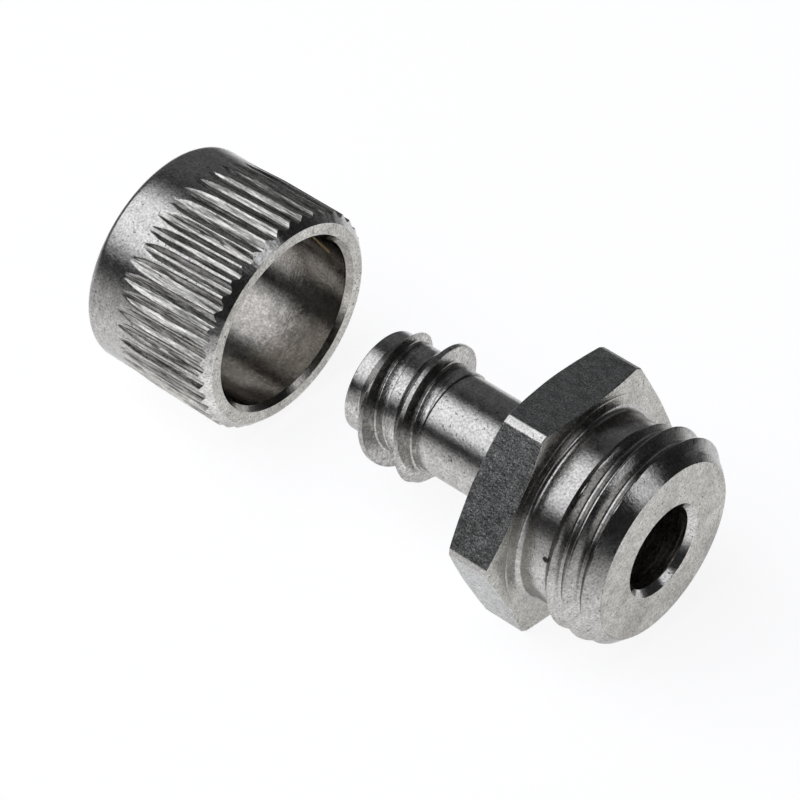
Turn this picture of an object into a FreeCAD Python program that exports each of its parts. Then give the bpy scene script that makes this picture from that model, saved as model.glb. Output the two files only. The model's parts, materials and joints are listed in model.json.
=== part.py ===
import FreeCAD, Part
import math
import os

# A straight fitting for small flexible metal conduit, in two turned pieces.
# The body screws into an enclosure wall with its threaded end and into the
# conduit with the coarse ridge on its tail. The knurled cap slides along the
# conduit and closes over its cut end, against the hexagon.
# Everything is round about the X axis. The origin is on the axis, in the plane
# of the hexagon's sealing face. +X points to the threaded end, +Z is up.
# Sizes are millimetres and angles are degrees.

# Hexagon
hex_across_flats = 14.0
hex_corner_diameter = 15.9
hex_thickness = 3.0
hex_front_bevel = 12.0
hex_rear_bevel = 15.0

# Sealing face: a fine turned groove round the neck
face_groove_diameter = 13.1
face_groove_depth = 0.06

# Threaded end
thread_diameter = 12.5
thread_depth = 0.61
thread_end_length = 5.41
thread_end_chamfer = 0.93
neck_length = 1.59
neck_relief = 0.03
neck_root_radius = 0.12

# The conduit that the fitting is made for
conduit_outer_diameter = 10.0
conduit_bore = 7.0

# Tail that screws into the conduit
tail_length = 11.35
tip_land_length = 0.85
tip_edge_break = 0.08
root_play = 0.45
ridge_bite = 0.55
ridge_pitch = 2.55
ridge_crest_width = 0.3
ridge_entering_flank = 36.0
ridge_holding_flank = 3.0
ridge_first_crest = 1.36
ridge_lead_angle = 49.0
ridge_end_angle = 28.0
shank_diameter = 5.9
shank_length = 6.19

# Bore through the body
bore_diameter = 5.0
bore_mouth_chamfer = 0.37
bore_tail_chamfer = 0.15

# Cap
cap_length = 9.2
cap_collar_diameter = 13.4
cap_rear_radius = 0.5
cap_bore_play = 0.24
cap_entry_play = 0.05
cap_entry_chamfer = 0.15
cap_lip_length = 1.4
cap_mouth_chamfer = 0.31
cap_mouth_ring_width = 0.7
cap_mouth_bevel = 45.0

# Straight knurl on the cap: flat-bottomed grooves that lean a little
knurl_diameter = 13.6
knurl_count = 42
knurl_groove_depth = 0.22
knurl_groove_floor = 0.25
knurl_groove_angle = 110.0
knurl_rear_start = 2.26
knurl_run_out = 0.9
knurl_turned_by = 0.9
knurl_lean = 2.2

# The cap lies off the tail, on the same axis
cap_parted_by = 6.81

# How far a piece that is fused or cut runs on past the surface it meets
overrun = 0.3

# Sizes that follow
hex_rear_x = -hex_thickness
tip_x = hex_rear_x - tail_length
shoulder_x = hex_rear_x - shank_length
neck_radius = thread_diameter / 2 - thread_depth - neck_relief
root_radius = conduit_bore / 2 - root_play
ridge_radius = conduit_bore / 2 + ridge_bite
cap_mouth_x = tip_x - cap_parted_by
cap_rear_x = cap_mouth_x - cap_length
cap_bore_radius = conduit_outer_diameter / 2 + cap_bore_play
cap_entry_radius = conduit_outer_diameter / 2 + cap_entry_play
knurl_rear_x = cap_rear_x + knurl_rear_start


def tan(degrees):
    """Tangent of an angle in degrees."""
    return math.tan(math.radians(degrees))


def turned(points):
    """Solid of revolution about X from a closed outline of (x, radius) points."""
    corners = [FreeCAD.Vector(x, 0, radius) for x, radius in points]
    outline = Part.makePolygon(corners + corners[:1])
    return Part.Face(outline).revolve(FreeCAD.Vector(), FreeCAD.Vector(1, 0, 0), 360)


def round_edges(solid, radius, x, edge_radius):
    """Fillet the circular edges at one place on the axis."""
    found = [edge for edge in solid.Edges if is_ring(edge, x, edge_radius)]
    return solid.makeFillet(radius, found)


def is_ring(edge, x, edge_radius):
    """Whether an edge is the full circle of one radius round the axis at x."""
    curve = edge.Curve
    return (isinstance(curve, Part.Circle)
            and abs(curve.Center.x - x) < 0.001
            and abs(curve.Radius - edge_radius) < 0.001)


def hexagon():
    """Hexagon cut from round bar: corners turned off, both faces bevelled."""
    flat = hex_across_flats / 2
    corner = hex_corner_diameter / 2
    front_drop = (corner - flat) * tan(hex_front_bevel)
    rear_drop = (corner - flat) * tan(hex_rear_bevel)
    bar = turned([(hex_rear_x, 0), (hex_rear_x, flat), (hex_rear_x + rear_drop, corner),
                  (-front_drop, corner), (0, flat), (0, 0)])
    vertex = flat / math.cos(math.radians(30))
    corners = []
    for step in range(7):
        angle = math.radians(60 * step)
        y, z = vertex * math.cos(angle), vertex * math.sin(angle)
        corners.append(FreeCAD.Vector(hex_rear_x, y, z))
    prism = Part.Face(Part.makePolygon(corners)).extrude(FreeCAD.Vector(hex_thickness, 0, 0))
    return bar.common(prism)


def face_groove():
    """Ring to cut from the sealing face, a shallow V."""
    middle = face_groove_diameter / 2
    depth = face_groove_depth
    return turned([(-depth, middle), (depth, middle + 2 * depth), (depth, middle - 2 * depth)])


def thread_blank():
    """Neck and thread at its outside diameter, with a 45 degree lead at each end."""
    outside = thread_diameter / 2
    end = thread_end_length
    rise = outside - neck_radius
    return turned([(hex_rear_x / 2, 0), (hex_rear_x / 2, neck_radius), (neck_length, neck_radius),
                   (neck_length + rise, outside), (end - thread_end_chamfer, outside),
                   (end, outside - thread_end_chamfer), (end, 0)])


def tail_core():
    """Tail below the ridge: tip, root of the ridge and plain shank."""
    shank = shank_diameter / 2
    tip = root_radius - tip_edge_break
    return turned([(tip_x, 0), (tip_x, tip), (tip_x + tip_edge_break, root_radius),
                   (shoulder_x, root_radius), (shoulder_x, shank), (hex_rear_x / 2, shank),
                   (hex_rear_x / 2, 0)])


def ridge_section():
    """Ridge across its helix: a sloped side enters the conduit, a steep side holds it."""
    half_crest = ridge_crest_width / 2
    outline = []
    for radius in (root_radius - overrun, ridge_radius + overrun):
        below_crest = ridge_radius - radius
        outline.append((FreeCAD.Vector(radius, 0, -half_crest - below_crest * tan(ridge_entering_flank)),
                        FreeCAD.Vector(radius, 0, half_crest + below_crest * tan(ridge_holding_flank))))
    (foot_entering, foot_holding), (top_entering, top_holding) = outline
    return Part.makePolygon([foot_entering, top_entering, top_holding, foot_holding, foot_entering])


def ridge_blank():
    """Turned shape that the ridge is cut from: a lead cone at the tip, a steeper one at the end."""
    lead_x = tip_x + tip_land_length
    lead, end = tan(ridge_lead_angle), tan(ridge_end_angle)
    rise = ridge_radius - root_radius
    return turned([(lead_x - overrun / lead, 0), (lead_x - overrun / lead, root_radius - overrun),
                   (lead_x + rise / lead, ridge_radius), (shoulder_x - rise * end, ridge_radius),
                   (shoulder_x, root_radius), (shoulder_x, 0)])


def ridge():
    """Right-hand helical ridge, cut back by its blank."""
    length = shoulder_x - tip_x + 2 * ridge_pitch
    helix = Part.makeLongHelix(ridge_pitch, length, root_radius - overrun)
    strip = Part.Wire(helix).makePipeShell([ridge_section()], True, True)
    strip.rotate(FreeCAD.Vector(), FreeCAD.Vector(0, 1, 0), 90)
    # The helix begins at the bottom, half a turn before the crest passes the top.
    strip.translate(FreeCAD.Vector(tip_x + ridge_first_crest - 1.5 * ridge_pitch, 0, 0))
    return strip.common(ridge_blank())


def body_bore():
    """Through bore with its two mouth chamfers, as a solid to cut."""
    radius = bore_diameter / 2
    front = thread_end_length
    return turned([(tip_x, 0), (tip_x, radius + bore_tail_chamfer),
                   (tip_x + bore_tail_chamfer, radius), (front - bore_mouth_chamfer, radius),
                   (front, radius + bore_mouth_chamfer), (front, 0)])


def threaded_body():
    """The whole body, one turned piece."""
    body = hexagon().fuse([thread_blank(), tail_core()]).removeSplitter()
    body = round_edges(body, neck_root_radius, 0, neck_radius)
    body = body.cut(face_groove())
    body = body.fuse(ridge())
    return body.cut(body_bore())


def cap_blank():
    """Cap before knurling: sleeve with an inward lip at the conduit's end."""
    collar = cap_collar_diameter / 2
    crest = knurl_diameter / 2
    bore = cap_bore_radius
    entry = cap_entry_radius
    mouth = bore + cap_mouth_chamfer
    ring = mouth + cap_mouth_ring_width
    bevel = (crest - ring) * tan(cap_mouth_bevel)
    lip_x = cap_rear_x + cap_lip_length
    blank = turned([(cap_rear_x, entry + cap_entry_chamfer), (cap_rear_x, collar),
                    (knurl_rear_x, collar), (knurl_rear_x + knurl_run_out, crest),
                    (cap_mouth_x - bevel, crest), (cap_mouth_x, ring), (cap_mouth_x, mouth),
                    (cap_mouth_x - cap_mouth_chamfer, bore), (lip_x, bore),
                    (lip_x - (bore - entry), entry), (cap_rear_x + cap_entry_chamfer, entry)])
    return round_edges(blank, cap_rear_radius, cap_rear_x, collar)


def knurl_groove_section(x, bottom):
    """Outline across a groove at x, with its floor at the radius bottom."""
    top = knurl_diameter / 2 + overrun
    half_floor = knurl_groove_floor / 2
    half_top = half_floor + (top - bottom) * tan(knurl_groove_angle / 2)
    corners = [FreeCAD.Vector(x, y, z) for y, z in (
        (-half_top, top), (half_top, top), (half_floor, bottom), (-half_floor, bottom))]
    section = Part.makePolygon(corners + corners[:1])
    lean = knurl_lean * (cap_mouth_x - x) / (cap_mouth_x - knurl_rear_x)
    section.rotate(FreeCAD.Vector(), FreeCAD.Vector(1, 0, 0), lean)
    return section


def knurl_groove():
    """One groove at the top of the cap, rising out of the metal at the collar."""
    collar = cap_collar_diameter / 2
    bottom = knurl_diameter / 2 - knurl_groove_depth
    rise = (collar - bottom) * overrun / knurl_run_out
    return Part.makeLoft([knurl_groove_section(knurl_rear_x - overrun, collar + rise),
                          knurl_groove_section(knurl_rear_x + knurl_run_out, bottom),
                          knurl_groove_section(cap_mouth_x + overrun, bottom)], True, True)


def knurled_cap():
    """The cap with its ring of grooves."""
    groove = knurl_groove()
    grooves = []
    for step in range(knurl_count):
        angle = knurl_turned_by + 360 * step / knurl_count
        copy = groove.copy()
        copy.rotate(FreeCAD.Vector(), FreeCAD.Vector(1, 0, 0), angle)
        grooves.append(copy)
    return cap_blank().cut(grooves)


os.makedirs("parts", exist_ok=True)
for name, shape in (("threaded_body", threaded_body()), ("knurled_cap", knurled_cap())):
    solid = shape.Solids[0]
    print(name, len(shape.Solids), solid.isValid(), round(solid.Volume, 2), len(solid.Faces))
    solid.exportStep("parts/" + name + ".step")
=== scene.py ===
import json
import math

import bmesh
import bpy
import numpy as np
from mathutils import Matrix, Vector

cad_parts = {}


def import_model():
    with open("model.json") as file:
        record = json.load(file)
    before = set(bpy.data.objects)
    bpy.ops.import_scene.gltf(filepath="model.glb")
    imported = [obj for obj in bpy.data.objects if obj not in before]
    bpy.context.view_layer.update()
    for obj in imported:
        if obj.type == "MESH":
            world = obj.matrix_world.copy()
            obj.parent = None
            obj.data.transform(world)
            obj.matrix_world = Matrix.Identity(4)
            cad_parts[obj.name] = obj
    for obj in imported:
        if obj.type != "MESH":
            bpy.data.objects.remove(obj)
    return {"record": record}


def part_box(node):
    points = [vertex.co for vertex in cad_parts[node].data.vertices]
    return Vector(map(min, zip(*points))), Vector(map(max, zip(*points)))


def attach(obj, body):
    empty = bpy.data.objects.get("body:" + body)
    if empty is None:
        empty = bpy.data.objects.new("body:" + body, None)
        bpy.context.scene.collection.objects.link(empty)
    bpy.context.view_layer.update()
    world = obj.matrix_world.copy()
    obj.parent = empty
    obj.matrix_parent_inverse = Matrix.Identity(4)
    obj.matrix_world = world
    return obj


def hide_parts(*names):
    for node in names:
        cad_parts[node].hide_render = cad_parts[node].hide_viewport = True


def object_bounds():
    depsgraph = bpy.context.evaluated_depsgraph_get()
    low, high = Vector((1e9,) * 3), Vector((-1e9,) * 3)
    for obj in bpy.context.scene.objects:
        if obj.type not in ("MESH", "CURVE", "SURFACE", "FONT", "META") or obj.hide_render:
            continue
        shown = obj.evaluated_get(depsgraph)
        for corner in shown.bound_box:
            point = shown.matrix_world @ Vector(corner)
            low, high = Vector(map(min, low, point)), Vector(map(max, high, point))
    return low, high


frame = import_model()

bl_info = {
    "name": "Conduit fitting",
    "version": (1, 0, 0),
    "blender": (4, 5, 0),
    "location": "3D View > Sidebar > Fitting",
    "description": "A turned steel conduit fitting and its knurled cap, dressed round the packed frame",
    "category": "Object",
}

# Everything is round about the X axis, in metres. +X is the threaded end, and the origin lies in
# the plane of the hexagon's sealing face.
MM = 0.001
CAD_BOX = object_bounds()
BODY_LOW, BODY_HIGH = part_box("threaded_body")
CAP_LOW, CAP_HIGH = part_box("knurled_cap")
MOUNTS = {mount["name"]: mount for mount in frame["record"]["mounts"]}

# Places on the axis and radii that the frame gives
THREAD_END_X, TIP_X = BODY_HIGH.x, BODY_LOW.x
FLAT_RADIUS, CORNER_RADIUS = BODY_HIGH.z, BODY_HIGH.y
CAP_MOUTH_X, CAP_REAR_X = CAP_HIGH.x, CAP_LOW.x
KNURL_RADIUS = CAP_HIGH.z
THREAD_RADIUS = MOUNTS["entry_thread"]["dims"]["r_mm"] * MM
BORE_RADIUS = MOUNTS["cable_bore"]["dims"]["r_mm"] * MM
CAP_ENTRY_RADIUS = MOUNTS["cap_entry"]["dims"]["r_mm"] * MM

# Vertices closer than this are one vertex, and edges sharper than this stay crisp
WELD = 0.0001 * MM
CRISP_ANGLE = math.radians(38)

# Rows that soften makes at a rounded corner, with its usual number of steps
CORNER_ROWS = 6
# A rounded corner takes at most this share of its shorter side
MOST_OF_SIDE = 0.35
# A close row stands this many times as far from the corner as the arc's end
CLOSE_ROW = 1.3

# Where the rows of the body's bore from its two ends meet
BORE_MIDDLE_X = -4 * MM


def length(name, description, millimetres):
    """A size that a user may change, written in millimetres."""
    return bpy.props.FloatProperty(name=name, description=description, default=millimetres * MM,
                                   unit="LENGTH", subtype="DISTANCE", precision=5)


def angle(name, description, degrees):
    """An angle that a user may change, written in degrees."""
    return bpy.props.FloatProperty(name=name, description=description, default=math.radians(degrees),
                                   subtype="ANGLE")


def linear(code):
    """Scene-linear red, green and blue of an sRGB hex colour."""
    parts = [int(code[i:i + 2], 16) / 255 for i in (1, 3, 5)]
    return [p / 12.92 if p <= 0.04045 else ((p + 0.055) / 1.055) ** 2.4 for p in parts]


def colour(name, description, code):
    """A colour that a user may change, written as an sRGB hex value."""
    return bpy.props.FloatVectorProperty(name=name, description=description, default=linear(code),
                                         subtype="COLOR", min=0, max=1)


class FittingBodySizes(bpy.types.PropertyGroup):
    """Sizes of the turned body."""
    hex_rear_x: length("Hexagon rear", "Place of the hexagon's rear face", -3.0)
    front_bevel: angle("Front bevel", "Bevel of the hexagon's corners at the sealing face", 12)
    rear_bevel: angle("Rear bevel", "Bevel of the hexagon's corners at the rear", 15)
    edge_break: length("Edge break", "Radius of the hexagon's edges", 0.05)
    face_groove_radius: length("Face groove", "Radius of the fine groove in the sealing face", 6.55)
    face_groove_depth: length("Face groove depth", "Depth of that groove", 0.03)
    face_groove_half: length("Face groove half width", "Half of that groove's width", 0.1)
    thread_pitch: length("Thread pitch", "Pitch of the entry thread", 1.27)
    thread_depth: length("Thread depth", "Crest to root of the entry thread", 0.61)
    thread_flank: angle("Thread flank", "Half of the entry thread's 80 degree angle", 40)
    thread_root_round: length("Thread root round", "Radius in the entry thread's root", 0.165)
    thread_crest_x: length("Thread crest", "Place of one crest where the angle is zero", 2.973)
    thread_lead: length("Thread lead", "Chamfer at the threaded end", 0.93)
    neck_length: length("Neck", "Plain neck between the hexagon and the first thread turn", 1.9)
    neck_radius: length("Neck radius", "Radius of the plain neck", 5.61)
    neck_root_round: length("Neck root round", "Radius of the fillet between neck and sealing face", 0.28)
    bore_mouth: length("Bore mouth", "Chamfer where the bore meets the end face", 0.37)
    bore_tail: length("Bore tail", "Chamfer where the bore meets the tip", 0.15)
    shank_radius: length("Shank radius", "Plain shank behind the hexagon", 2.95)
    shoulder_x: length("Shoulder", "Place where the ridge stops", -9.19)
    root_radius: length("Ridge root", "Radius between the turns of the ridge", 3.05)
    ridge_radius: length("Ridge crest", "Radius over the ridge", 4.05)
    ridge_pitch: length("Ridge pitch", "Pitch of the right-hand ridge", 2.55)
    ridge_width: length("Ridge width", "Width of the ridge's crest", 0.3)
    entering_flank: angle("Entering flank", "Slope of the ridge's side towards the tip", 36)
    holding_flank: angle("Holding flank", "Slope of the ridge's side towards the hexagon", 3)
    ridge_crest_x: length("Ridge crest place", "Place of one crest where the angle is zero", -13.63)
    ridge_lead: angle("Ridge lead", "Slope of the cone that the ridge starts with", 49)
    ridge_end: angle("Ridge end", "Angle between the cone that the ridge ends with and the shoulder", 28)
    tip_land: length("Tip land", "Plain length before the ridge's lead cone", 0.85)
    tool_line: length("Tool line", "Depth of the helical line left in the ridge's root", 0.02)


class FittingCapSizes(bpy.types.PropertyGroup):
    """Sizes of the knurled cap."""
    collar_radius: length("Collar", "Radius of the plain collar", 6.7)
    rear_round: length("Rear round", "Radius of the rear outer edge", 0.5)
    bore_radius: length("Bore", "Radius inside the cap", 5.24)
    lip_length: length("Lip", "Length of the inward lip at the rear", 1.4)
    entry_chamfer: length("Entry chamfer", "Chamfer of the rear opening", 0.15)
    mouth_chamfer: length("Mouth chamfer", "Chamfer inside the mouth", 0.31)
    mouth_ring: length("Mouth ring", "Width of the flat ring round the mouth", 0.7)
    mouth_bevel: angle("Mouth bevel", "Slope of the bevel outside the ring", 45)
    groove_count: bpy.props.IntProperty(name="Grooves", description="Number of knurl grooves", default=42)
    groove_depth: length("Groove depth", "Crest to floor of a knurl groove", 0.22)
    groove_floor: length("Groove floor", "Width of a groove's flat floor", 0.25)
    groove_angle: angle("Groove angle", "Angle between the sides of a groove", 110)
    groove_phase: angle("Groove phase", "Where one groove stands at the mouth, from the Y axis", 90.9)
    groove_lean: angle("Groove lean", "How far a groove has turned where it starts", 2.2)
    knurl_start: length("Knurl start", "From the rear face to the first of the knurl", 2.26)
    knurl_run_out: length("Knurl run-out", "Length over which a groove sinks to full depth", 0.9)
    late_start: length("Late start", "Most that a groove starts beyond the first of the knurl", 0.3)
    swelling: length("Swelling", "Length over which the lands rise from the collar to the knurl", 2.5)
    tear: length("Tear", "Height of the torn lines in the grooves", 0.018)


class FittingFinish(bpy.types.PropertyGroup):
    """Colours of the steel and of the stage."""
    steel: colour("Turned steel", "Bare stainless steel, turned", "#BDBBB8")
    faced_steel: colour("Faced steel", "Bare stainless steel, faced across", "#C3C1BB")
    drawn_steel: colour("Drawn steel", "Bar skin left on the hexagon's flats", "#B0B0AE")
    bevel_steel: colour("Chamfered steel", "Bare stainless steel, chamfered bright", "#D0CECB")
    torn_steel: colour("Torn steel", "Steel torn by the knurl", "#BDBBB6")
    drilled_steel: colour("Drilled steel", "Steel inside the bores", "#A9A59F")
    # Colour of a painted brassy glint inside the cap's bore
    painted_glint: colour("Painted glint", "Short brassy glint painted inside the cap", "#E2BE84")
    floor: colour("Floor", "Pale table", "#FBFBFC")
    soft_light: colour("Soft light", "Large soft light above the front left", "#F8FAFF")


# Mesh tools: a piece is a grid of rows, each row a ring of (x, radius) at the column angles.

def ring(x, radius, angles):
    """One row; x and radius may each be one number or one for each column."""
    return np.stack(np.broadcast_arrays(x, radius, angles)[:2], -1).astype(float)


def soften(rows, radii, steps=3):
    """Round the corner at each row by its radius, with a close row on either side of the arc."""
    out = [rows[0]]
    for before, corner, after, radius in zip(rows, rows[1:], rows[2:], radii[1:]):
        if not radius:
            out.append(corner)
            continue
        back, ahead = before - corner, after - corner
        back_length = np.maximum(np.linalg.norm(back, axis=-1, keepdims=True), WELD)
        ahead_length = np.maximum(np.linalg.norm(ahead, axis=-1, keepdims=True), WELD)
        back, ahead = back / back_length, ahead / ahead_length
        # Held just short of a full fold, where the reach would have no end
        cosine = np.clip(-(back * ahead).sum(-1, keepdims=True), -0.999, 1)
        half = np.arccos(cosine) / 2
        reach = np.minimum(radius * np.tan(half), MOST_OF_SIDE * np.minimum(back_length, ahead_length))
        start, end, weight = corner + back * reach, corner + ahead * reach, np.cos(half)
        out.append(corner + back * reach * CLOSE_ROW)
        for t in np.linspace(0, 1, steps + 1):
            a, b, c = (1 - t) ** 2, 2 * t * (1 - t) * weight, t ** 2
            out.append((a * start + b * corner + c * end) / (a + b + c))
        out.append(corner + ahead * reach * CLOSE_ROW)
    return out + [rows[-1]]


def corner_middles(count):
    """Numbers of the rows at the middles of the first few corners, where soften rounds them all."""
    return [1 + CORNER_ROWS * corner + CORNER_ROWS // 2 for corner in range(count)]


def fill_in(points, spacing):
    """The same line with more points on it, none further apart than the spacing."""
    filled = [points[:1]]
    for start, end in zip(points, points[1:]):
        pieces = max(1, math.ceil(np.linalg.norm(end - start) / spacing))
        shares = np.arange(1, pieces + 1)[:, None] / pieces
        filled.append(start + (end - start) * shares)
    return np.concatenate(filled)


def helix_rows(section, pitch, crest_x, x_from, x_to, limit, angles):
    """Rows from x_to back to x_from that follow a right-hand helix with this section.

    The section runs over one pitch from crest to crest, as (distance, radius) points.
    The first and last row are square to the axis, the others stop at them, and no radius
    passes limit(x).
    """
    turn = angles / (2 * math.pi) * pitch
    first = math.floor((x_from - pitch - crest_x) / pitch)
    last = math.ceil((x_to - crest_x) / pitch)
    starts = sorted({crest_x + k * pitch + s for k in range(first, last + 1) for s in section[:-1, 0]})
    places = [np.clip(start + turn, x_from, x_to)
              for start in reversed(starts) if x_from - pitch <= start <= x_to]
    rows = []
    for x in [np.full_like(angles, x_to)] + places + [np.full_like(angles, x_from)]:
        radius = np.interp((x - turn - crest_x) % pitch, section[:, 0], section[:, 1])
        rows.append(ring(x, np.minimum(radius, limit(x)), angles))
    return rows


def skin(name, angles, zones, materials):
    """Mesh object from zones of rows: each zone is (rows, material name or one for each column)."""
    rows = [row for zone_rows, _ in zones for row in zone_rows]
    rows.append(zones[0][0][0])
    count = len(angles)
    grid = np.array(rows)
    x, radius = grid[..., 0], grid[..., 1]
    points = np.stack([x, radius * np.cos(angles), radius * np.sin(angles)], -1).reshape(-1, 3)
    corner = (np.arange(len(rows) - 1)[:, None] * count + np.arange(count - 1)).ravel()
    faces = np.stack([corner, corner + 1, corner + count + 1, corner + count], -1)
    names = list(materials)
    index = []
    for zone_rows, finish in zones:
        strip = [finish] * (count - 1) if isinstance(finish, str) else finish
        index += [names.index(f) for f in strip] * len(zone_rows)
    mesh = bpy.data.meshes.new(name)
    mesh.from_pydata(points.tolist(), [], faces.tolist())
    mesh.polygons.foreach_set("material_index", index)
    for material in materials.values():
        mesh.materials.append(material)
    weld(mesh)
    mesh.polygons.foreach_set("use_smooth", [True] * len(mesh.polygons))
    mesh.set_sharp_from_angle(angle=CRISP_ANGLE)
    piece = bpy.data.objects.new(name, mesh)
    bpy.context.scene.collection.objects.link(piece)
    return piece


def weld(mesh):
    """Join coincident vertices, drop empty faces and turn all faces outwards."""
    form = bmesh.new()
    form.from_mesh(mesh)
    bmesh.ops.remove_doubles(form, verts=form.verts, dist=WELD)
    bmesh.ops.dissolve_degenerate(form, edges=form.edges, dist=WELD)
    bmesh.ops.recalc_face_normals(form, faces=form.faces)
    form.to_mesh(mesh)
    form.free()


# Body

# Rows across the entry thread and across the tail's ridge stand no further apart than this
THREAD_SPACING, RIDGE_SPACING = 0.07 * MM, 0.16 * MM


def hexagon_angles(flat_columns=40):
    """Column angles round the body, closer where each corner's land begins and ends."""
    land = math.radians(30) - math.acos(FLAT_RADIUS / CORNER_RADIUS)
    # A column this close on either side keeps the land's edge crisp
    beside = math.radians(0.5)
    sixth = math.radians(60)
    near, far = land + beside, sixth - land - beside
    offsets = [0, land - beside, land] + list(np.linspace(near, far, flat_columns))
    offsets += [sixth - land, sixth - land + beside]
    angles = [sixth * k + offset for k in range(6) for offset in offsets] + [2 * math.pi]
    return np.array(angles)


def end_rows(sizes, angles):
    """Bore, its chamfer, the end face and the first of the lead, from inside outwards."""
    mouth, end = sizes.bore_mouth, THREAD_END_X
    lead_radius = THREAD_RADIUS - sizes.thread_lead
    first_of_lead = 0.3 * sizes.thread_lead
    places = [(BORE_MIDDLE_X, BORE_RADIUS), (end - mouth, BORE_RADIUS), (end, BORE_RADIUS + mouth),
              (end, lead_radius), (end - first_of_lead, lead_radius + first_of_lead)]
    rows = soften([ring(x, r, angles) for x, r in places], [0, 0.05 * MM, 0.05 * MM, 0.04 * MM, 0])
    bore_end, chamfer_end, face_end = corner_middles(3)
    return rows[:bore_end], rows[bore_end:chamfer_end], rows[chamfer_end:face_end], rows[face_end:-1]


def thread_section(sizes):
    """Rounded 80 degree section of the entry thread, over one pitch from crest to crest."""
    half = sizes.thread_pitch / 2
    sharp_depth = half / math.tan(sizes.thread_flank)
    # How far a round stays off its sharp corner, as a share of its radius
    stays_off = 1 / math.sin(sizes.thread_flank) - 1
    over = (sharp_depth - sizes.thread_depth) - sizes.thread_root_round * stays_off
    crest_round = over / stays_off
    top, bottom = THREAD_RADIUS + over, THREAD_RADIUS + over - sharp_depth
    one = np.zeros(1)
    corners = [ring(x, r, one) for x, r in (
        (-half, bottom), (0, top), (half, bottom), (2 * half, top), (3 * half, bottom))]
    rows = soften(corners, [0, crest_round, sizes.thread_root_round, crest_round, 0], steps=5)
    points = np.array([row[0] for row in rows])
    nothing = 1e-9
    inside = points[(points[:, 0] > nothing) & (points[:, 0] < 2 * half - nothing)]
    ends = np.array([[0, THREAD_RADIUS], [2 * half, THREAD_RADIUS]])
    return fill_in(np.concatenate([ends[:1], inside, ends[1:]]), THREAD_SPACING)


def thread_rows(sizes, angles):
    """Entry thread between its lead chamfer and the neck."""
    lead_x = THREAD_END_X - sizes.thread_lead

    def limit(x):
        lead = THREAD_RADIUS - np.maximum(0, x - lead_x)
        return np.minimum(lead, sizes.neck_radius + np.maximum(0, x - sizes.neck_length))

    return helix_rows(thread_section(sizes), sizes.thread_pitch, sizes.thread_crest_x,
                      sizes.neck_length, THREAD_END_X, limit, angles)


def hexagon_radius(angles):
    """Radius of the hexagon at each angle, with its corners turned off."""
    half_side = math.radians(30)
    off_flat = (angles + half_side) % math.radians(60) - half_side
    off_flat = np.abs(np.abs(off_flat) - half_side)
    return np.minimum(FLAT_RADIUS / np.cos(off_flat), CORNER_RADIUS)


def neck_and_face_rows(sizes, angles):
    """Neck with its fillet, then the sealing face with its fine groove."""
    groove, half = sizes.face_groove_radius, sizes.face_groove_half
    outside = hexagon_radius(angles)
    drop = (outside - FLAT_RADIUS) * math.tan(sizes.front_bevel)
    places = [(sizes.neck_length, sizes.neck_radius), (0, sizes.neck_radius), (0, groove - half),
              (-sizes.face_groove_depth, groove), (0, groove + half), (0, FLAT_RADIUS), (-drop, outside)]
    radii = [0, sizes.neck_root_round, 0.06 * MM, 0.08 * MM, 0.06 * MM, 0, 0]
    rows = soften([ring(x, r, angles) for x, r in places], radii)
    return rows[:CORNER_ROWS], rows[CORNER_ROWS:-1]


def flat_rows(sizes, angles):
    """Flats and corner lands of the hexagon, between their two edges."""
    outside = hexagon_radius(angles)
    front = -(outside - FLAT_RADIUS) * math.tan(sizes.front_bevel)
    rear = sizes.hex_rear_x + (outside - FLAT_RADIUS) * math.tan(sizes.rear_bevel)
    places = [(0, FLAT_RADIUS), (front, outside), (rear, outside), (sizes.hex_rear_x, FLAT_RADIUS)]
    return soften([ring(x, r, angles) for x, r in places], [0, sizes.edge_break, sizes.edge_break, 0])[1:-1]


def rear_rows(sizes, angles):
    """Rear face of the hexagon, plain shank and shoulder."""
    places = [(sizes.hex_rear_x, FLAT_RADIUS), (sizes.hex_rear_x, sizes.shank_radius),
              (sizes.shoulder_x, sizes.shank_radius)]
    return soften([ring(x, r, angles) for x, r in places], [0, 0.15 * MM, 0])


def ridge_section(sizes):
    """Section of the tail's ridge over one pitch, from the middle of its crest towards the hexagon."""
    pitch, half = sizes.ridge_pitch, sizes.ridge_width / 2
    crest, root, line = sizes.ridge_radius, sizes.root_radius, sizes.tool_line
    holding = half + (crest - root) * math.tan(sizes.holding_flank)
    entering = pitch - half - (crest - root) * math.tan(sizes.entering_flank)
    # The tool line goes down over twice its depth and up over once its depth, nearly to the root
    line_x = 0.357 * pitch
    one = np.zeros(1)
    corners = [(0, crest), (half, crest), (holding, root), (line_x - 2 * line, root), (line_x, root - line),
               (line_x + line, root - 0.2 * line), (entering, root), (pitch - half, crest), (pitch, crest)]
    radii = [0, 0.04 * MM, 0.12 * MM, 0, 0, 0, 0.3 * MM, 0.07 * MM, 0]
    points = np.array([row[0] for row in soften([ring(x, r, one) for x, r in corners], radii)])
    return fill_in(points, RIDGE_SPACING)


def tail_rows(sizes, angles):
    """Ridged tail between the shoulder and the lead cone."""
    cone_x = TIP_X + sizes.tip_land

    def limit(x):
        lead = np.maximum(0, x - cone_x) * math.tan(sizes.ridge_lead)
        end = np.maximum(0, sizes.shoulder_x - x) / math.tan(sizes.ridge_end)
        return sizes.root_radius + np.minimum(lead, end)

    return helix_rows(ridge_section(sizes), sizes.ridge_pitch, sizes.ridge_crest_x,
                      cone_x, sizes.shoulder_x, limit, angles)


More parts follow.
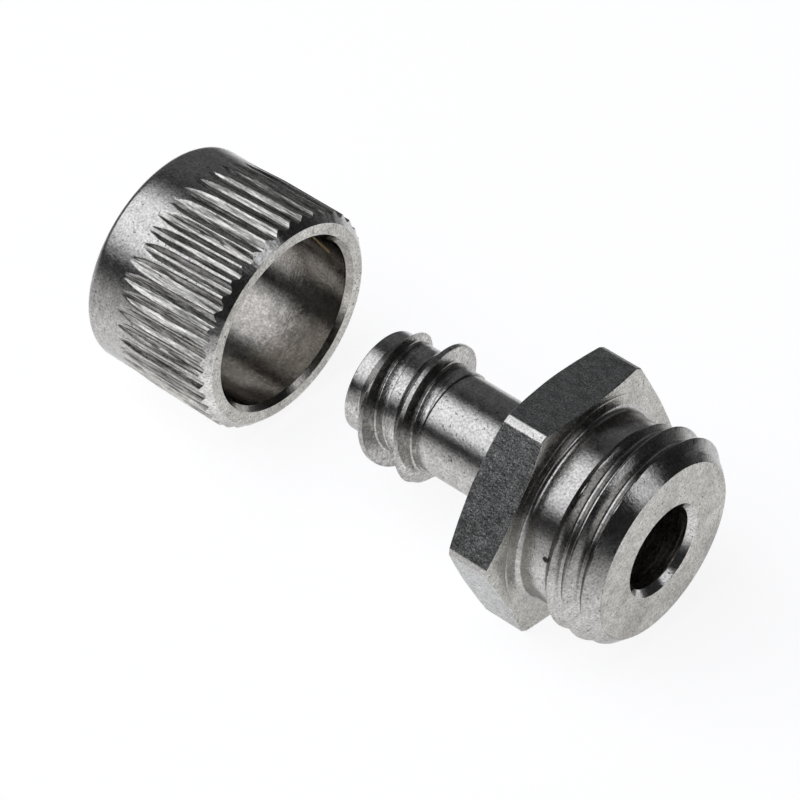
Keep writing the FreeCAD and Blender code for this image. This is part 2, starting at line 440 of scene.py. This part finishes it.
def tip_rows(sizes, angles):
    """Land, tip face and the bore's tail end."""
    places = [(TIP_X + sizes.tip_land, sizes.root_radius), (TIP_X, sizes.root_radius),
              (TIP_X, BORE_RADIUS + sizes.bore_tail), (TIP_X + sizes.bore_tail, BORE_RADIUS),
              (BORE_MIDDLE_X, BORE_RADIUS)]
    rows = soften([ring(x, r, angles) for x, r in places], [0, 0.08 * MM, 0.04 * MM, 0.04 * MM, 0])
    bore_start = len(rows) - 3
    return rows[:bore_start], rows[bore_start:-1]


def flat_finishes(angles):
    """Finish of each column of the hexagon: bar skin on flats, turned steel on lands."""
    middles = (angles[1:] + angles[:-1]) / 2
    turned = hexagon_radius(middles) >= CORNER_RADIUS - WELD
    return ["turned" if t else "drawn" for t in turned]


# Cap

# Seeds of the random differences between grooves and of the torn lines
GROOVE_SEED, TEAR_SEED = 11, 7


def knurl_angles(sizes, columns=18):
    """Column angles round the cap, the same number in every groove."""
    return np.linspace(0, 2 * math.pi, sizes.groove_count * columns + 1)


def land_radius(sizes, x):
    """Radius between the knurl's grooves, which swells a little from the collar."""
    risen = np.clip((x - CAP_REAR_X - sizes.knurl_start) / sizes.swelling, 0, 1)
    return sizes.collar_radius + (KNURL_RADIUS - sizes.collar_radius) * risen ** 2 * (3 - 2 * risen)


def groove_changes(sizes):
    """Seeded changes for each groove: how late it starts, and its share of the usual floor width."""
    random = np.random.default_rng(GROOVE_SEED)
    # More of them start early than late
    late = random.uniform(0, 1, sizes.groove_count) ** 1.5 * sizes.late_start
    narrowest, widest = 0.8, 1.3
    return late, random.uniform(narrowest, widest, sizes.groove_count)


def knurl_radius(sizes, x, angles, tears):
    """Radius of the knurled outside at x, with flat-bottomed grooves that sink into the collar."""
    start = CAP_REAR_X + sizes.knurl_start
    land = land_radius(sizes, x)
    bottom = KNURL_RADIUS - sizes.groove_depth
    lean = sizes.groove_lean * (CAP_MOUTH_X - x) / (CAP_MOUTH_X - start)
    pitch = 2 * math.pi / sizes.groove_count
    turn = angles - sizes.groove_phase - lean + pitch / 2
    groove = np.floor(turn / pitch).astype(int) % sizes.groove_count
    late, width = groove_changes(sizes)
    sunk = (x - start - late[groove]) / sizes.knurl_run_out
    floor = np.maximum(sizes.collar_radius + (bottom - sizes.collar_radius) * sunk, bottom)
    off = (turn % pitch - pitch / 2) * KNURL_RADIUS
    half_floor = width[groove] * sizes.groove_floor / 2
    up = np.maximum(0, np.abs(off) - half_floor) / math.tan(sizes.groove_angle / 2)
    side = floor + up + tears
    # The smaller of land and side, with a soft edge where they meet
    blend, far = 0.01 * MM, 30
    gap = np.clip((side - land) / blend, -far, far)
    radius = land + blend * np.where(gap > 0, -np.log1p(np.exp(-gap)), gap - np.log1p(np.exp(gap)))
    return np.minimum(radius, KNURL_RADIUS)


def knurl_zones(sizes, rows):
    """The knurl row by row, torn in its grooves and turned on the lands between them."""
    zones = []
    least_depth = 0.02 * MM
    for row in rows:
        sunk = land_radius(sizes, row[:, 0]) - row[:, 1] > least_depth
        torn = sunk[:-1] | sunk[1:]
        zones.append(([row], ["torn" if t else "turned" for t in torn]))
    return zones


def tear_map(sizes, angles, rows, places=7):
    """Seeded heights of the lines that the knurl tore along the steel, for each row and column.

    A line has heights at a few places along the knurl and one all along, like its neighbours'.
    """
    random = np.random.default_rng(TEAR_SEED)
    count = len(angles) - 1
    at_places = random.normal(0, 1, (places, count))
    at_places = at_places + 0.7 * (np.roll(at_places, 1, 1) + np.roll(at_places, -1, 1))
    all_along = random.normal(0, 1, count)
    all_along = all_along + 0.5 * (np.roll(all_along, 1) + np.roll(all_along, -1))
    here = np.linspace(0, places - 1, rows)
    low = np.minimum(here.astype(int), places - 2)
    share = (here - low)[:, None]
    heights = at_places[low] * (1 - share) + at_places[low + 1] * share + 0.6 * all_along
    heights = np.concatenate([heights, heights[:, :1]], 1)
    usual_height = 1.6
    return sizes.tear * (heights / usual_height) / 2


def cap_outside_rows(sizes, angles, stations=60):
    """Knurl from the collar to the scalloped edge where the mouth's bevel begins."""
    start = CAP_REAR_X + sizes.knurl_start
    tears = tear_map(sizes, angles, stations)
    mouth_ring = sizes.bore_radius + sizes.mouth_chamfer + sizes.mouth_ring
    slope = math.tan(sizes.mouth_bevel)
    edge_radius = knurl_radius(sizes, CAP_MOUTH_X, angles, tears[-1])
    edge_x = CAP_MOUTH_X - (edge_radius - mouth_ring) * slope
    rows = []
    for share, heights in zip(np.linspace(0, 1, stations), tears):
        # The rows stand closer together near the collar, where the grooves sink
        x = start + (edge_x - start) * share ** 1.25
        rows.append(ring(x, knurl_radius(sizes, x, angles, heights), angles))
    return rows


def cap_mouth_rows(sizes, angles, edge):
    """Bevel and flat ring of the mouth, then its inner chamfer and the bore."""
    mouth = sizes.bore_radius + sizes.mouth_chamfer
    places = [edge, ring(CAP_MOUTH_X, mouth + sizes.mouth_ring, angles), ring(CAP_MOUTH_X, mouth, angles),
              ring(CAP_MOUTH_X - sizes.mouth_chamfer, sizes.bore_radius, angles),
              ring(CAP_REAR_X + sizes.lip_length, sizes.bore_radius, angles)]
    rows = soften(places, [0, 0.05 * MM, 0.05 * MM, 0.05 * MM, 0])
    bevel_end, ring_end = corner_middles(2)
    return rows[:bevel_end], rows[bevel_end:ring_end], rows[ring_end:]


def cap_rear_rows(sizes, angles):
    """Lip, rear face and collar, from the inside round to the start of the knurl."""
    lip_x, entry = CAP_REAR_X + sizes.lip_length, CAP_ENTRY_RADIUS
    places = [(lip_x, sizes.bore_radius), (lip_x - (sizes.bore_radius - entry), entry),
              (CAP_REAR_X + sizes.entry_chamfer, entry), (CAP_REAR_X, entry + sizes.entry_chamfer),
              (CAP_REAR_X, sizes.collar_radius), (CAP_REAR_X + sizes.knurl_start, sizes.collar_radius)]
    radii = [0, 0.05 * MM, 0.04 * MM, 0.04 * MM, sizes.rear_round, 0]
    rows = soften([ring(x, r, angles) for x, r in places], radii, steps=4)
    # The step more than usual gives each corner one more row
    entry_end = 1 + 2 * (CORNER_ROWS + 1)
    return rows[1:entry_end], rows[entry_end:]


# Materials

# Most of a noise's values lie between these
MOST_NOISE = (0.35, 0.65)
# How far a steel's roughness changes from place to place, as a share of it
GLOSS_CHANGE = 0.3
# Steel seen along its surface mirrors a little less than white
EDGE_TINT = (0.75, 0.75, 0.75, 1)


def add_node(tree, kind, inputs=None, **settings):
    """Add one node with its settings; an input is a value, a socket, or a node for its first output."""
    node = tree.nodes.new(kind)
    for name, value in settings.items():
        setattr(node, name, value)
    for key, value in (inputs or {}).items():
        if isinstance(value, bpy.types.Node):
            value = value.outputs[0]
        if isinstance(value, bpy.types.NodeSocket):
            tree.links.new(value, node.inputs[key])
        else:
            node.inputs[key].default_value = value
    return node


def new_material(name):
    """An empty node material and its output node."""
    material = bpy.data.materials.new(name)
    material.use_nodes = True
    material.node_tree.nodes.clear()
    return material, add_node(material.node_tree, "ShaderNodeOutputMaterial")


def grain(along, across, detail=3, roughness=0.6):
    """Maker of noise from 0 to 1 whose grain measures this many millimetres along X and across it."""
    def make(tree):
        place = add_node(tree, "ShaderNodeTexCoord").outputs["Object"]
        scale = (1 / (along * MM), 1 / (across * MM), 1 / (across * MM))
        grid = add_node(tree, "ShaderNodeVectorMath", {0: place, 1: scale}, operation="MULTIPLY")
        return add_node(tree, "ShaderNodeTexNoise", {
            "Vector": grid, "Scale": 1.0, "Detail": detail, "Roughness": roughness}).outputs["Fac"]
    return make


def from_axis(tree):
    """Distance from the X axis in millimetres."""
    place = add_node(tree, "ShaderNodeTexCoord").outputs["Object"]
    across = add_node(tree, "ShaderNodeVectorMath", {0: place, 1: (0, 1 / MM, 1 / MM)}, operation="MULTIPLY")
    away = add_node(tree, "ShaderNodeVectorMath", {0: across}, operation="LENGTH")
    return away.outputs["Value"]


def rings(spacing):
    """Maker of noise from 0 to 1 in rings round the axis, this many millimetres apart."""
    def make(tree):
        lines = add_node(tree, "ShaderNodeMath", {0: from_axis(tree), 1: 1 / spacing}, operation="MULTIPLY")
        return add_node(tree, "ShaderNodeTexNoise", {"W": lines, "Scale": 1.0, "Detail": 2},
                        noise_dimensions="1D").outputs["Fac"]
    return make


def from_point(place):
    """Maker of the distance in millimetres from one place, given in millimetres."""
    def make(tree):
        here = add_node(tree, "ShaderNodeTexCoord").outputs["Object"]
        there = tuple(value * MM for value in place)
        away = add_node(tree, "ShaderNodeVectorMath", {0: here, 1: there}, operation="DISTANCE")
        return add_node(tree, "ShaderNodeMath", {0: away.outputs["Value"], 1: 1 / MM}, operation="MULTIPLY")
    return make


def from_line(start, end):
    """Maker of the distance in millimetres from a straight line between two places, in millimetres."""
    first, run = Vector(start) * MM, (Vector(end) - Vector(start)) * MM

    def make(tree):
        here = add_node(tree, "ShaderNodeTexCoord").outputs["Object"]
        out = add_node(tree, "ShaderNodeVectorMath", {0: here, 1: first}, operation="SUBTRACT")
        along = add_node(tree, "ShaderNodeVectorMath", {0: out, 1: run / run.length_squared},
                         operation="DOT_PRODUCT")
        share = add_node(tree, "ShaderNodeClamp", {"Value": along.outputs["Value"]})
        foot = add_node(tree, "ShaderNodeVectorMath", {0: run, "Scale": share}, operation="SCALE")
        away = add_node(tree, "ShaderNodeVectorMath", {0: out, 1: foot}, operation="DISTANCE")
        return add_node(tree, "ShaderNodeMath", {0: away.outputs["Value"], 1: 1 / MM}, operation="MULTIPLY")
    return make


def steel(name, tint, roughness, relief, shades, mark=None):
    """Bare steel whose surface is mostly its reflections, duller in some places than in others.

    relief is a list of (noise maker, height in millimetres), each laid over the last.
    shades is a list of (value maker, value from, value to, brightness from, brightness to).
    mark is (value maker, value from, value to, colour). Below the first value is a painted glint of the
    colour that isn't metal, and above the second is bare steel.
    """
    material, output = new_material(name)
    tree = material.node_tree
    normal = None
    for maker, height in relief:
        inputs = {"Height": maker(tree), "Distance": height * MM, "Strength": 1.0}
        if normal:
            inputs["Normal"] = normal
        normal = add_node(tree, "ShaderNodeBump", inputs).outputs["Normal"]
    brightness = 1.0
    for maker, low, high, dark, light in shades:
        shade = add_node(tree, "ShaderNodeMapRange", {
            "Value": maker(tree), "From Min": low, "From Max": high, "To Min": dark, "To Max": light})
        brightness = add_node(tree, "ShaderNodeMath", {0: brightness, 1: shade},
                              operation="MULTIPLY")
    tinted = add_node(tree, "ShaderNodeMix", {0: 1.0, 6: (*tint, 1), 7: brightness},
                      data_type="RGBA", blend_type="MULTIPLY")
    bare = 1.0
    # The mark paints a glint: flat colour in place of the metal
    if mark:
        maker, near, far, mark_colour = mark
        bare = add_node(tree, "ShaderNodeMapRange", {
            "Value": maker(tree), "From Min": near, "From Max": far})
        tinted = add_node(tree, "ShaderNodeMix", {0: bare, 6: (*mark_colour, 1), 7: tinted.outputs[2]},
                          data_type="RGBA")
    gloss = add_node(tree, "ShaderNodeMapRange", {
        "Value": grain(0.5, 0.5)(tree), "From Min": MOST_NOISE[0], "From Max": MOST_NOISE[1],
        "To Min": roughness * (1 - GLOSS_CHANGE), "To Max": roughness * (1 + GLOSS_CHANGE)})
    shader = add_node(tree, "ShaderNodeBsdfPrincipled", {
        "Base Color": tinted.outputs[2], "Metallic": bare, "Specular Tint": EDGE_TINT,
        "Roughness": gloss, "Normal": normal})
    tree.links.new(shader.outputs[0], output.inputs["Surface"])
    return material


# Shades for steel(): an uneven shine, small dark pits, wide faint blotches, the one dark pit
# where the entry thread starts, and the ridge's duller crest
UNEVEN = [(grain(0.13, 0.13), *MOST_NOISE, 0.7, 1.2), (grain(0.7, 0.7), *MOST_NOISE, 0.86, 1.08)]
PITS = (grain(0.2, 0.2, 1), 0.28, 0.34, 0.35, 1.0)
BLOTCHES = (grain(3, 3, 2), *MOST_NOISE, 0.84, 1.08)
THREAD_START_PIT = (from_point((1.78, -5.6, 0.76)), 0.15, 0.22, 0.08, 1.0)
DULL_CREST = (from_axis, 3.85, 3.98, 1.0, 0.85)
# Where the painted brassy glint inside the cap runs, then the distances at which it fades and is gone
PAINTED_GLINT = (from_line((-23.78, 4.832, 2.026), (-22.72, 5.037, 1.444)), 0.12, 0.17)


def turned_steel(finish):
    """Stainless steel turned round its axis: fine rings, small pits and a bright, speckled shine."""
    return steel("Turned stainless steel", finish.steel, 0.17,
                 [(grain(0.16, 0.16, 4), 0.008), (grain(0.05, 2.5, 2), 0.002)],
                 UNEVEN + [PITS, THREAD_START_PIT])


def ridge_steel(finish):
    """The same steel where the coarse ridge was cut: its crest is torn and speckled."""
    return steel("Ridge stainless steel", finish.steel, 0.2,
                 [(grain(0.16, 0.3, 4), 0.010), (grain(0.05, 2.5, 2), 0.003)],
                 UNEVEN + [PITS, DULL_CREST, (grain(0.09, 0.25), 0.35, 0.6, 0.7, 1.15)])


def faced_steel(finish):
    """Stainless steel faced across: rings round the axis and a softer, even shine."""
    return steel("Faced stainless steel", finish.faced_steel, 0.24,
                 [(grain(0.14, 0.14, 4), 0.009), (rings(0.07), 0.003)], UNEVEN + [PITS, BLOTCHES])


def drawn_steel(finish):
    """Skin of drawn hexagon bar: fine dents all over, so that it mirrors in soft mottles."""
    return steel("Drawn bar skin", finish.drawn_steel, 0.2, [(grain(0.2, 0.2, 4, 0.7), 0.02)],
                 [(grain(0.1, 0.1, 2), *MOST_NOISE, 0.5, 1.5), (grain(0.5, 0.3), *MOST_NOISE, 0.75, 1.25)])


def bevelled_steel(finish):
    """Stainless steel chamfered with a sharp tool: bright, with a clear mirror of its surroundings."""
    return steel("Chamfered stainless steel", finish.bevel_steel, 0.15, [(grain(0.3, 0.3), 0.004)],
                 UNEVEN + [PITS])


def torn_steel(finish):
    """Steel pressed by a straight knurl: fine lines torn along the axis, with bright and dark grains."""
    return steel("Knurled stainless steel", finish.torn_steel, 0.24,
                 [(grain(2.6, 0.2), 0.026), (grain(0.3, 0.1, 2), 0.007)],
                 [(grain(2.2, 0.17), 0.36, 0.6, 0.3, 1.2), (grain(0.4, 0.1), 0.38, 0.62, 0.7, 1.15)])


def drilled_steel(finish):
    """Inside of a drilled hole: coarse rings from the drill and a darker, rougher shine."""
    return steel("Drilled stainless steel", finish.drilled_steel, 0.36,
                 [(grain(0.25, 3, 2), 0.05), (grain(0.2, 0.2), 0.01)],
                 UNEVEN + [(grain(0.16, 3, 2), 0.35, 0.6, 0.7, 1.2)])


def bored_steel(finish):
    """Inside of a bored hole: smooth, with a dark, mottled shine and one short painted brassy glint."""
    return steel("Bored stainless steel", finish.drilled_steel, 0.16,
                 [(grain(0.06, 1.5, 2), 0.003), (grain(0.3, 0.3), 0.008)],
                 UNEVEN + [(grain(0.5, 0.9), 0.3, 0.6, 0.75, 1.05)], mark=(*PAINTED_GLINT, finish.painted_glint[:]))


def finishes(*names):
    """The named steel finishes, each made once for the piece that asks."""
    makers = {"turned": turned_steel, "ridge": ridge_steel, "faced": faced_steel, "drawn": drawn_steel,
              "bevelled": bevelled_steel, "torn": torn_steel, "drilled": drilled_steel, "bored": bored_steel}
    finish = bpy.context.scene.fitting_finish
    return {name: makers[name](finish) for name in names}


class FITTING_OT_threaded_body(bpy.types.Operator):
    """Dress the body: threaded end, neck, hexagon, shank and ridged tail"""
    bl_idname = "fitting.threaded_body"
    bl_label = "Threaded body"

    def execute(self, context):
        sizes = context.scene.fitting_body
        angles = hexagon_angles()
        bore_front, chamfer, face, lead = end_rows(sizes, angles)
        neck, sealing_face = neck_and_face_rows(sizes, angles)
        tip, bore_back = tip_rows(sizes, angles)
        zones = [(bore_front, "drilled"), (chamfer, "bevelled"), (face, "faced"), (lead, "turned"),
                 (thread_rows(sizes, angles), "turned"), (neck, "turned"), (sealing_face, "faced"),
                 (flat_rows(sizes, angles), flat_finishes(angles)), (rear_rows(sizes, angles), "turned"),
                 (tail_rows(sizes, angles), "ridge"), (tip, "turned"), (bore_back, "drilled")]
        names = ("turned", "ridge", "faced", "drawn", "bevelled", "drilled")
        piece = skin("turned_body", angles, zones, finishes(*names))
        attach(piece, "body")
        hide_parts("threaded_body")
        return {"FINISHED"}


class FITTING_OT_knurled_cap(bpy.types.Operator):
    """Dress the cap: plain collar, torn knurl, bevelled mouth and bore"""
    bl_idname = "fitting.knurled_cap"
    bl_label = "Knurled cap"

    def execute(self, context):
        sizes = context.scene.fitting_cap
        angles = knurl_angles(sizes)
        knurl = cap_outside_rows(sizes, angles)
        bevel, mouth, bore = cap_mouth_rows(sizes, angles, knurl[-1])
        lip, rear = cap_rear_rows(sizes, angles)
        zones = knurl_zones(sizes, knurl[:-1])
        zones += [(bevel, "bevelled"), (mouth, "faced"), (bore, "bored"), (lip, "bored"), (rear, "turned")]
        names = ("turned", "bevelled", "faced", "torn", "bored")
        piece = skin("cap_shell", angles, zones, finishes(*names))
        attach(piece, "cap")
        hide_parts("knurled_cap")
        return {"FINISHED"}


# Stage: a pale table under a dark dome, on which one large soft light and one small one glow.

CAMERA_AZIMUTH = math.radians(37.738)
CAMERA_ELEVATION = math.radians(40.814)
CAMERA_ROLL = math.radians(4.372)
CAMERA_DISTANCE = 227.659 * MM
CAMERA_TARGET_RIGHT = -10.203 * MM
CAMERA_TARGET_UP = 4.724 * MM
# In millimetres, as a camera takes them
CAMERA_LENS = 192.06
CAMERA_SENSOR = 36

TABLE_HALF = 0.8
DOME_RADIUS = 0.75
# The soft light: its strength, then where it stands, as angles up from -Y and as slopes along X,
# each from dark to full and back
SOFT_LIGHT = 1.55
SOFT_LIGHT_ANGLES = [math.radians(a) for a in (10, 45, 72, 107)]
SOFT_LIGHT_SLOPES = (-2.6, -1.8, 0.05, 0.35)
# The small light at the right: strength, middle, and the cosines of its rim and full part
SIDE_LIGHT = 1.0
SIDE_LIGHT_MIDDLE = (0.826, 0.215, 0.521)
SIDE_LIGHT_COSINES = (0.962, 0.995)
# What the dark parts of the dome give all over
DARK = 0.026
# What they add towards the back left: strength, middle, and the cosines of its rim and full part
BACK_GLOW = 0.12
BACK_GLOW_MIDDLE = (-0.6, 0.8, 0)
BACK_GLOW_COSINES = (0.3, 0.9)
# What they add low down: strength, and the cosines to straight down where it starts and is full
LOW_GLOW = 0.07
LOW_GLOW_COSINES = (-0.17, 0.0)
# The table as the camera sees it: how much it reflects, which shows the shadow, and its own glow
TABLE_WHITE, TABLE_GLOW = 0.25, 0.915
# The table as the metal sees it, lit by painted light: full round one place, then less with
# distance, which is in millimetres and shortened along X
TABLE_GLOW_IN_METAL = 0.68
TABLE_MIDDLE = (-12.5 * MM, 12 * MM, 0)
TABLE_FULL_DISTANCE = 23.0
TABLE_SHORTENED = 0.6
TABLE_FALL = 1.15
# What the world gives to rays that don't see its white
WORLD_LOW_LIGHT = 0.3


def camera():
    """Camera at the photograph's viewing angle."""
    back = Vector((math.sin(CAMERA_AZIMUTH) * math.cos(CAMERA_ELEVATION),
                   -math.cos(CAMERA_AZIMUTH) * math.cos(CAMERA_ELEVATION),
                   math.sin(CAMERA_ELEVATION)))
    right = Vector((math.cos(CAMERA_AZIMUTH), math.sin(CAMERA_AZIMUTH), 0))
    up = back.cross(right)
    place = right * CAMERA_TARGET_RIGHT + up * CAMERA_TARGET_UP + back * CAMERA_DISTANCE
    roll = Matrix.Rotation(CAMERA_ROLL, 3, back)
    axes = Matrix((roll @ right, roll @ up, back)).transposed()
    data = bpy.data.cameras.new("camera")
    data.lens = CAMERA_LENS
    data.sensor_width = CAMERA_SENSOR
    data.clip_start = 10 * MM
    view = bpy.data.objects.new("camera", data)
    view.matrix_world = Matrix.Translation(place) @ axes.to_4x4()
    bpy.context.scene.collection.objects.link(view)
    bpy.context.scene.camera = view


def seen_rays(tree, path):
    """1 for camera, glossy and transmission rays, which see the pale background."""
    both = add_node(tree, "ShaderNodeMath", {0: path.outputs["Is Camera Ray"],
                                             1: path.outputs["Is Glossy Ray"]}, operation="MAXIMUM")
    return add_node(tree, "ShaderNodeMath", {0: both, 1: path.outputs["Is Transmission Ray"]},
                    operation="MAXIMUM")


def painted_table_light(tree):
    """Painted light on the table: how it gets darker away from a place behind the fitting, where it is 1."""
    place = add_node(tree, "ShaderNodeNewGeometry").outputs["Position"]
    away = add_node(tree, "ShaderNodeVectorMath", {0: place, 1: TABLE_MIDDLE}, operation="SUBTRACT")
    millimetres = add_node(tree, "ShaderNodeVectorMath", {
        0: away, 1: (TABLE_SHORTENED / MM, 1 / MM, 0)}, operation="MULTIPLY")
    distance = add_node(tree, "ShaderNodeVectorMath", {0: millimetres}, operation="LENGTH")
    share = add_node(tree, "ShaderNodeMath", {0: TABLE_FULL_DISTANCE, 1: distance.outputs["Value"]},
                     operation="DIVIDE")
    fade = add_node(tree, "ShaderNodeMath", {0: share, 1: TABLE_FALL}, operation="POWER")
    return add_node(tree, "ShaderNodeMath", {0: fade, 1: 1.0}, operation="MINIMUM")


def table_material(finish):
    """Pale table that glows for the rays that see it, so that it stays light and keeps a soft shadow.

    The camera sees it even. The metal sees painted light on it, darker with distance, and more of the
    shadow.
    """
    material, output = new_material("Pale table")
    tree = material.node_tree
    path = add_node(tree, "ShaderNodeLightPath")
    camera_ray = path.outputs["Is Camera Ray"]
    # Painted light: for the metal's rays the table's glow and whiteness fall off with distance
    fade = painted_table_light(tree)
    white = add_node(tree, "ShaderNodeMix", {0: camera_ray, 2: fade, 3: TABLE_WHITE}, data_type="FLOAT")
    diffuse = add_node(tree, "ShaderNodeBsdfDiffuse", {"Color": white})
    glow_in_metal = add_node(tree, "ShaderNodeMath", {0: fade, 1: TABLE_GLOW_IN_METAL}, operation="MULTIPLY")
    glow = add_node(tree, "ShaderNodeMix", {0: camera_ray, 2: glow_in_metal, 3: TABLE_GLOW},
                    data_type="FLOAT")
    strength = add_node(tree, "ShaderNodeMath", {0: glow, 1: seen_rays(tree, path)}, operation="MULTIPLY")
    light = add_node(tree, "ShaderNodeEmission", {"Color": (*finish.floor, 1), "Strength": strength})
    both = add_node(tree, "ShaderNodeAddShader", {0: diffuse, 1: light})
    tree.links.new(both.outputs[0], output.inputs["Surface"])
    return material


def soft_band(tree, value, places):
    """1 inside a band of values and 0 outside, with soft edges: places are dark, full, full, dark."""
    start, full, full_end, end = places
    rise = add_node(tree, "ShaderNodeMapRange", {"Value": value, "From Min": start, "From Max": full},
                    interpolation_type="SMOOTHSTEP")
    fall = add_node(tree, "ShaderNodeMapRange", {"Value": value, "From Min": end, "From Max": full_end},
                    interpolation_type="SMOOTHSTEP")
    return add_node(tree, "ShaderNodeMath", {0: rise, 1: fall}, operation="MULTIPLY")


def towards(tree, direction, middle, cosines):
    """1 in one direction, falling to 0 round it between two cosines."""
    rim, full = cosines
    match = add_node(tree, "ShaderNodeVectorMath", {0: direction, 1: middle}, operation="DOT_PRODUCT")
    return add_node(tree, "ShaderNodeMapRange", {
        "Value": match.outputs["Value"], "From Min": rim, "From Max": full},
        interpolation_type="SMOOTHSTEP")


def soft_light_share(tree, direction):
    """Where the large soft light glows: a wide band above the front left, along the fitting's axis."""
    parts = add_node(tree, "ShaderNodeSeparateXYZ", {0: direction}).outputs
    forwards = add_node(tree, "ShaderNodeMath", {0: parts["Y"], 1: -1.0}, operation="MULTIPLY")
    up_angle = add_node(tree, "ShaderNodeMath", {0: parts["Z"], 1: forwards}, operation="ARCTAN2")
    across = add_node(tree, "ShaderNodeVectorMath", {0: direction, 1: (0, 1, 1)}, operation="MULTIPLY")
    reach = add_node(tree, "ShaderNodeVectorMath", {0: across}, operation="LENGTH")
    slope = add_node(tree, "ShaderNodeMath", {0: parts["X"], 1: reach.outputs["Value"]}, operation="DIVIDE")
    return add_node(tree, "ShaderNodeMath", {
        0: soft_band(tree, up_angle, SOFT_LIGHT_ANGLES),
        1: soft_band(tree, slope, SOFT_LIGHT_SLOPES)}, operation="MULTIPLY")


def dome_material(finish):
    """Dark cards all round, with the two soft lights glowing on them."""
    material, output = new_material("Studio dome")
    tree = material.node_tree
    place = add_node(tree, "ShaderNodeNewGeometry").outputs["Position"]
    direction = add_node(tree, "ShaderNodeVectorMath", {0: place}, operation="NORMALIZE")
    glows = [(SOFT_LIGHT, soft_light_share(tree, direction)),
             (SIDE_LIGHT, towards(tree, direction, SIDE_LIGHT_MIDDLE, SIDE_LIGHT_COSINES)),
             (BACK_GLOW, towards(tree, direction, BACK_GLOW_MIDDLE, BACK_GLOW_COSINES)),
             (LOW_GLOW, towards(tree, direction, (0, 0, -1), LOW_GLOW_COSINES))]
    total = DARK
    for radiance, share in glows:
        total = add_node(tree, "ShaderNodeMath", {0: share, 1: radiance, 2: total}, operation="MULTIPLY_ADD")
    glow = add_node(tree, "ShaderNodeEmission", {"Color": (*finish.soft_light, 1), "Strength": total})
    tree.links.new(glow.outputs[0], output.inputs["Surface"])
    material.cycles.emission_sampling = "NONE"
    return material


def stage_piece(name, mesh, material):
    """A piece of the stage from its mesh."""
    mesh.materials.append(material)
    piece = bpy.data.objects.new(name, mesh)
    bpy.context.scene.collection.objects.link(piece)
    return piece


def table_mesh():
    """Flat square just under the fitting."""
    low = CAD_BOX[0][2]
    mesh = bpy.data.meshes.new("table")
    half = TABLE_HALF
    mesh.from_pydata([(-half, -half, low), (half, -half, low), (half, half, low), (-half, half, low)],
                     [], [(0, 1, 2, 3)])
    return mesh


def dome_mesh():
    """Ball round the stage, for reflections and soft light."""
    mesh = bpy.data.meshes.new("dome")
    form = bmesh.new()
    bmesh.ops.create_uvsphere(form, u_segments=48, v_segments=24, radius=DOME_RADIUS)
    form.to_mesh(mesh)
    form.free()
    return mesh


def world():
    """White background for the rays that see it, and a low even light for the rest."""
    scene_world = bpy.data.worlds.new("studio")
    bpy.context.scene.world = scene_world
    scene_world.use_nodes = True
    tree = scene_world.node_tree
    tree.nodes.clear()
    seen = seen_rays(tree, add_node(tree, "ShaderNodeLightPath"))
    strength = add_node(tree, "ShaderNodeMapRange", {
        "Value": seen, "To Min": WORLD_LOW_LIGHT, "To Max": 1.0})
    sky = add_node(tree, "ShaderNodeBackground", {"Color": (1, 1, 1, 1), "Strength": strength})
    output = add_node(tree, "ShaderNodeOutputWorld")
    tree.links.new(sky.outputs[0], output.inputs["Surface"])


class FITTING_OT_stage(bpy.types.Operator):
    """Set the table, the dome with its lights, and the camera"""
    bl_idname = "fitting.stage"
    bl_label = "Stage"

    def execute(self, context):
        finish = context.scene.fitting_finish
        stage_piece("table", table_mesh(), table_material(finish))
        dome = stage_piece("dome", dome_mesh(), dome_material(finish))
        dome.visible_camera = dome.visible_shadow = False
        world()
        camera()
        context.scene.view_settings.view_transform = "Standard"
        return {"FINISHED"}


class FITTING_PT_panel(bpy.types.Panel):
    """Sizes, colours and pieces of the fitting"""
    bl_idname = "FITTING_PT_panel"
    bl_label = "Conduit fitting"
    bl_space_type = "VIEW_3D"
    bl_region_type = "UI"
    bl_category = "Fitting"

    def draw(self, context):
        for group in GROUPS:
            values = getattr(context.scene, group)
            for name in values.__annotations__:
                self.layout.prop(values, name)
        for operator in OPERATORS:
            self.layout.operator(operator.bl_idname)


GROUPS = {"fitting_body": FittingBodySizes, "fitting_cap": FittingCapSizes, "fitting_finish": FittingFinish}
OPERATORS = (FITTING_OT_threaded_body, FITTING_OT_knurled_cap, FITTING_OT_stage)


def register():
    for name, group in GROUPS.items():
        bpy.utils.register_class(group)
        setattr(bpy.types.Scene, name, bpy.props.PointerProperty(type=group))
    for operator in OPERATORS:
        bpy.utils.register_class(operator)
    bpy.utils.register_class(FITTING_PT_panel)


def unregister():
    bpy.utils.unregister_class(FITTING_PT_panel)
    for operator in reversed(OPERATORS):
        bpy.utils.unregister_class(operator)
    for name, group in reversed(GROUPS.items()):
        delattr(bpy.types.Scene, name)
        bpy.utils.unregister_class(group)


def main():
    register()
    bpy.ops.fitting.threaded_body()
    bpy.ops.fitting.knurled_cap()
    bpy.ops.fitting.stage()


if __name__ == "__main__":
    main()
